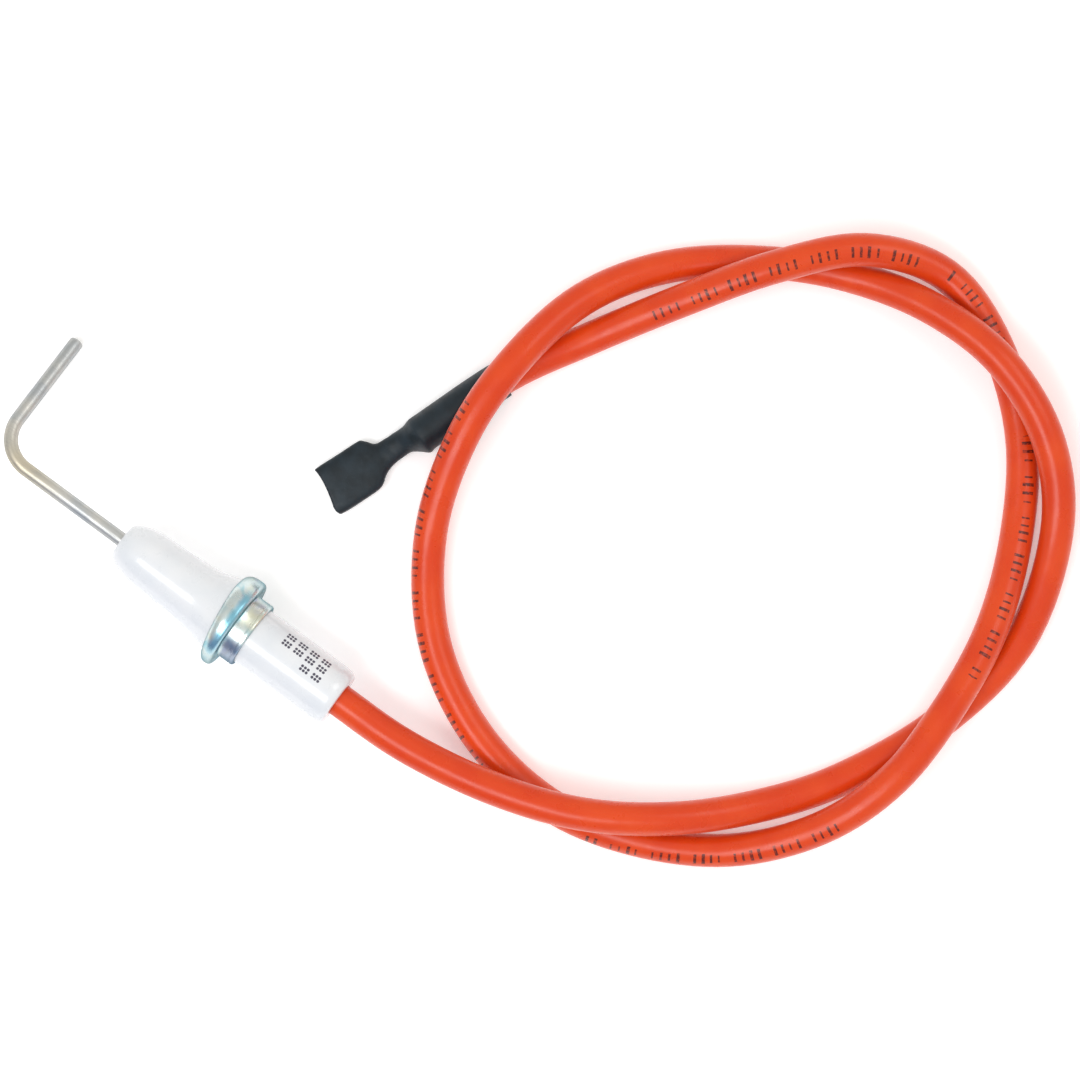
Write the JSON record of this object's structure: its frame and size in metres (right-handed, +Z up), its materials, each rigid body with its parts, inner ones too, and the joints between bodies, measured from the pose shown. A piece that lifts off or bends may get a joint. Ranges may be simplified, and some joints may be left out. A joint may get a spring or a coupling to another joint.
{
  "type": "flame sensor probe",
  "caption": "Flame sensor probe: bent metal rod in a white ceramic insulator with a flanged steel bushing, and a coiled silicone cable ending in a sleeved push-on terminal.",
  "frame": {"origin": "on the probe's axis, in the plane of the flange's seating face", "axes": "+X along the axis from the seating face to the cable, +Y to the side that the rod's leg points to, +Z up from the surface that the probe lies on"},
  "size_m": [0.2015, 0.1592, 0.0205],
  "materials": {
    "sensing_rod": "satin heat-resistant alloy",
    "cement": "matte",
    "porcelain": "satin white glaze",
    "plated_steel": "bright zinc plate with a faint blue tint",
    "brass": "plain",
    "tinned_copper": "tinned copper strands",
    "silicone": "satin orange-red silicone",
    "heat_shrink": "satin blue-black"
  },
  "bodies": {
    "root": {"sensing_rod": "sensing_rod", "nose_cement": "cement", "ceramic_insulator": "porcelain", "bushing_cement": "cement", "mounting_bushing": "plated_steel", "splice_sleeve": "brass", "splice_potting": "cement", "conductor": "tinned_copper", "cable_jacket": "silicone", "quick_connect_terminal": "brass", "heat_shrink_sleeve": "heat_shrink"}
  },
  "joints": []
}
